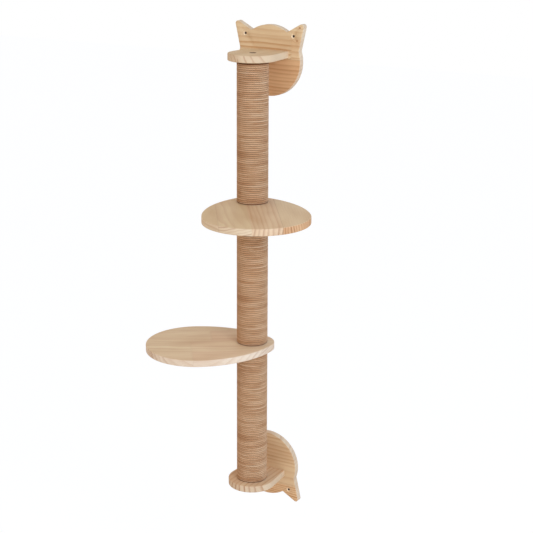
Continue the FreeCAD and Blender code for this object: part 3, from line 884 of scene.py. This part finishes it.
def jute(name):
    finish = Finish(name, Specular_IOR_Level=0.08, Sheen_Weight=0.12, Sheen_Roughness=0.5)

    def mark(attribute):
        return finish.node("ShaderNodeAttribute", {"attribute_name": attribute}, None, "Fac")

    along, girth = mark("along"), mark("girth")
    twist = along / STRAND_LAY + girth
    strand = (twist * STRANDS).maths("PINGPONG", 0.5) * 2
    strand_crease_shade = 1 - strand.step(0.0, 0.45)
    fibre_place = finish.join(along * 160 + girth * 6, twist * 40, girth * 3)
    fibres = finish.noise(fibre_place, 1.0, 3.0, 0.65)
    batch = finish.noise(finish.join(along * 4.1, 0.0, 0.0), 1.0, 3.0, 0.7)
    patch = finish.noise(finish.node("ShaderNodeTexCoord", None, None, "Object"), 24.0, 2.0, 0.5)
    groove = 1 - mark("outward").step(0.0, 0.7)
    colour = finish.mix(fibres.step(0.30, 0.72), JUTE_TAN, JUTE_STRAW)
    colour = finish.mix(batch.step(0.42, 0.60) * 0.6, colour, JUTE_DARK)
    colour = finish.mix((1 - batch.step(0.34, 0.46)) * 0.45, colour, JUTE_PALE)
    colour = finish.mix(patch.step(0.45, 0.75) * 0.30, colour, JUTE_FADED)
    # painted shade in the creases between strands, in the grooves between turns and on the turns
    # at the boards
    colour = finish.mix(strand_crease_shade * 0.35, colour, JUTE_CREASE_SHADE)
    colour = finish.mix(groove * 0.75, colour, JUTE_GROOVE_SHADE)
    colour = finish.mix(mark("at_board") * 0.92, colour, JUTE_BOARD_SHADE)
    height = strand.step(0.0, 0.7) + fibres * 0.5
    return finish.finish_with(colour, 0.82 + (fibres - 0.5) * 0.2, height, 0.7 * MM)


jute_material = jute("jute_rope")
for section in ("upper", "middle", "lower"):
    low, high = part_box(f"{section}_post_tube")
    turns = round((high[2] - low[2] - 2 * ROPE_RADIUS) / TURN_PITCH)
    rope, climb = wind_rope(f"{section}_rope_winding", low[2], high[2], turns)
    level_turns(rope, climb)
    close_and_place(rope, low[2])
    rope.data.materials.append(jute_material)
    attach(rope, "post_and_brackets")
    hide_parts("post_ropes")
    count = triangle_count(rope)
    print(f"{rope.name}: {turns} turns, {climb / MM:.2f} mm apart, {count} triangles")

# %% [markdown]
# ## Bolts and washers
#
# A zinc-plated hexagon bolt clamps the post at each shelf, sunk in a round pocket. The corners
# of a real bolt head are turned off by a cone, which leaves a round arris on top. That shape is
# what a hexagonal prism and a chamfered disc have in common, so a Boolean modifier makes it.

# %% Zinc-plated steel
ZINC_GREY = srgb(222, 222, 220)
ZINC_BRIGHT = srgb(240, 238, 232)
ZINC_SCUFF = srgb(160, 160, 158)


def zinc(name):
    finish = Finish(name, Metallic=1.0)
    coordinates = finish.node("ShaderNodeTexCoord", None, None, "Object")
    bloom = finish.noise(coordinates, 220.0, 3.0, 0.6)
    scuff = finish.noise(coordinates, 1500.0, 2.0, 0.7)
    colour = finish.mix(bloom.step(0.3, 0.7), ZINC_GREY, ZINC_BRIGHT)
    colour = finish.mix(scuff.step(0.6, 0.8) * 0.3, colour, ZINC_SCUFF)
    return finish.finish_with(colour, 0.26 + bloom * 0.15, scuff, 0.03 * MM)


zinc_material = zinc("zinc_plated_steel")

# %% Bolts
HEAD_FLATS = 13 * MM
HEAD_CORNERS = HEAD_FLATS / math.sqrt(3)         # from the middle to a corner
HEAD_HEIGHT = 5.3 * MM
BOLT_RADIUS = 4 * MM
BOLT_LENGTH = 30 * MM


def hexagon_bolt(name):
    """A bolt with its head's underside at Z = 0 and its shank below."""
    bpy.ops.object.select_all(action="DESELECT")
    bpy.ops.mesh.primitive_cylinder_add(
        vertices=64, radius=HEAD_CORNERS * 1.02, depth=HEAD_HEIGHT,
        location=(0, 0, HEAD_HEIGHT / 2),
    )
    disc = bpy.context.object
    bpy.ops.object.mode_set(mode="EDIT")
    bpy.ops.mesh.select_all(action="DESELECT")
    bpy.ops.object.mode_set(mode="OBJECT")
    for face in disc.data.polygons:
        face.select = face.normal.z > 0.9
    bpy.ops.object.mode_set(mode="EDIT")
    bpy.ops.mesh.bevel(offset=1.3 * MM, offset_type="WIDTH", segments=2, profile=0.6)
    bpy.ops.object.mode_set(mode="OBJECT")
    bpy.ops.object.select_all(action="DESELECT")
    bpy.ops.mesh.primitive_cylinder_add(
        vertices=6, radius=HEAD_CORNERS, depth=HEAD_HEIGHT,
        location=(0, 0, HEAD_HEIGHT / 2),
    )
    bolt = bpy.context.object
    bolt.name = name
    bolt.data.name = name
    apply_modifier(bolt, "BOOLEAN", operation="INTERSECT", object=disc, solver="EXACT")
    bpy.data.objects.remove(disc)
    apply_modifier(bolt, "BEVEL", width=0.25 * MM, segments=2, limit_method="ANGLE",
                   angle_limit=math.radians(35), use_clamp_overlap=False)
    bpy.ops.object.select_all(action="DESELECT")
    bpy.ops.mesh.primitive_cylinder_add(
        vertices=40, radius=BOLT_RADIUS, depth=BOLT_LENGTH, location=(0, 0, -BOLT_LENGTH / 2)
    )
    shank = bpy.context.object
    apply_modifier(shank, "BEVEL", width=0.8 * MM, segments=2, limit_method="ANGLE",
                   angle_limit=math.radians(60))
    bolt.select_set(True)
    bpy.context.view_layer.objects.active = bolt
    bpy.ops.object.join()
    return bolt


def set_in_place(piece, place, turn=(0, 0, 0)):
    piece.location = place
    piece.rotation_euler = turn
    select_only(piece)
    bpy.ops.object.transform_apply(location=True, rotation=True, scale=True)
    bpy.ops.object.shade_smooth_by_angle(angle=math.radians(20))


bolt_low, bolt_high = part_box("bracket_bolts")
top_bolt = hexagon_bolt("top_bolt")
select_only(top_bolt)
bpy.ops.object.duplicate()
bottom_bolt = bpy.context.object
bottom_bolt.name = "bottom_bolt"
bottom_bolt.data.name = "bottom_bolt"
set_in_place(top_bolt, (0, POST_AXIS.y, bolt_high[2] - HEAD_HEIGHT))
set_in_place(bottom_bolt, (0, POST_AXIS.y, bolt_low[2] + HEAD_HEIGHT), (math.pi, 0, 0))
for bolt in (top_bolt, bottom_bolt):
    bolt.data.materials.append(zinc_material)
    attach(bolt, "post_and_brackets")
    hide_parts("bracket_bolts")
    print(f"{bolt.name}: {triangle_count(bolt)} triangles")

# %% Washers
washers = copy_node("bracket_bolt_washers", "bolt_washers")
ease_edges(washers, 0.3 * MM, 2)
washers.data.materials.clear()
washers.data.materials.append(zinc_material)
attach(washers, "post_and_brackets")
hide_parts("bracket_bolt_washers")
print("washers:", triangle_count(washers), "triangles")

# %% [markdown]
# ## What the rope and the boards hide
#
# The board tubes, the wooden plugs in their ends, the steel inserts, studs and screws keep their
# CAD shapes, because almost nothing of them shows, and get finishes of their own.

# %% Board tube and plug wood
TAPE_WIDTH = 90 * MM
BOARD_BROWN = srgb(156, 122, 86)
BOARD_LIGHT = srgb(186, 152, 112)
BOARD_SEAM = srgb(104, 78, 52)


def wound_board(name):
    """Brown board wound on a slant, with a seam at every turn."""
    finish = Finish(name, Specular_IOR_Level=0.25)
    x, y, z = finish.split(finish.node("ShaderNodeTexCoord", None, None, "Object"))
    angle = (y - POST_AXIS.y).maths("ARCTAN2", x) / (2 * math.pi)
    seam = 1 - (z / TAPE_WIDTH + angle).maths("FRACT").step(0.0, 0.02)
    pulp = finish.noise(finish.join(x, y, z), 900.0, 3.0, 0.6)
    colour = finish.mix(pulp, BOARD_BROWN, BOARD_LIGHT)
    colour = finish.mix(seam * 0.6, colour, BOARD_SEAM)
    return finish.finish_with(colour, 0.85 + (pulp - 0.5) * 0.1, pulp - seam, 0.2 * MM)


plug_staves = [Stave(45, 6, 70, 2.0, 0.3, 0.6, 0.6), Stave(45, 5, 60, 2.0, 0.5, 0.6, 0.6)]
plug_material = pine("plug_wood", POST_AXIS, (0, 0, 0), plug_staves, shift=0.8)
tube_material = wound_board("wound_board")
hidden_finishes = {
    "plugs": plug_material, "tube": tube_material, "inserts": zinc_material,
    "stud": zinc_material, "screws": zinc_material,
}
for node_name, node in nodes.items():
    material = hidden_finishes.get(node_name.split("_")[-1])
    if material:
        for slot_index in range(len(node.material_slots)):
            node.material_slots[slot_index].material = material
        print(f"{node_name}: {material.name}")
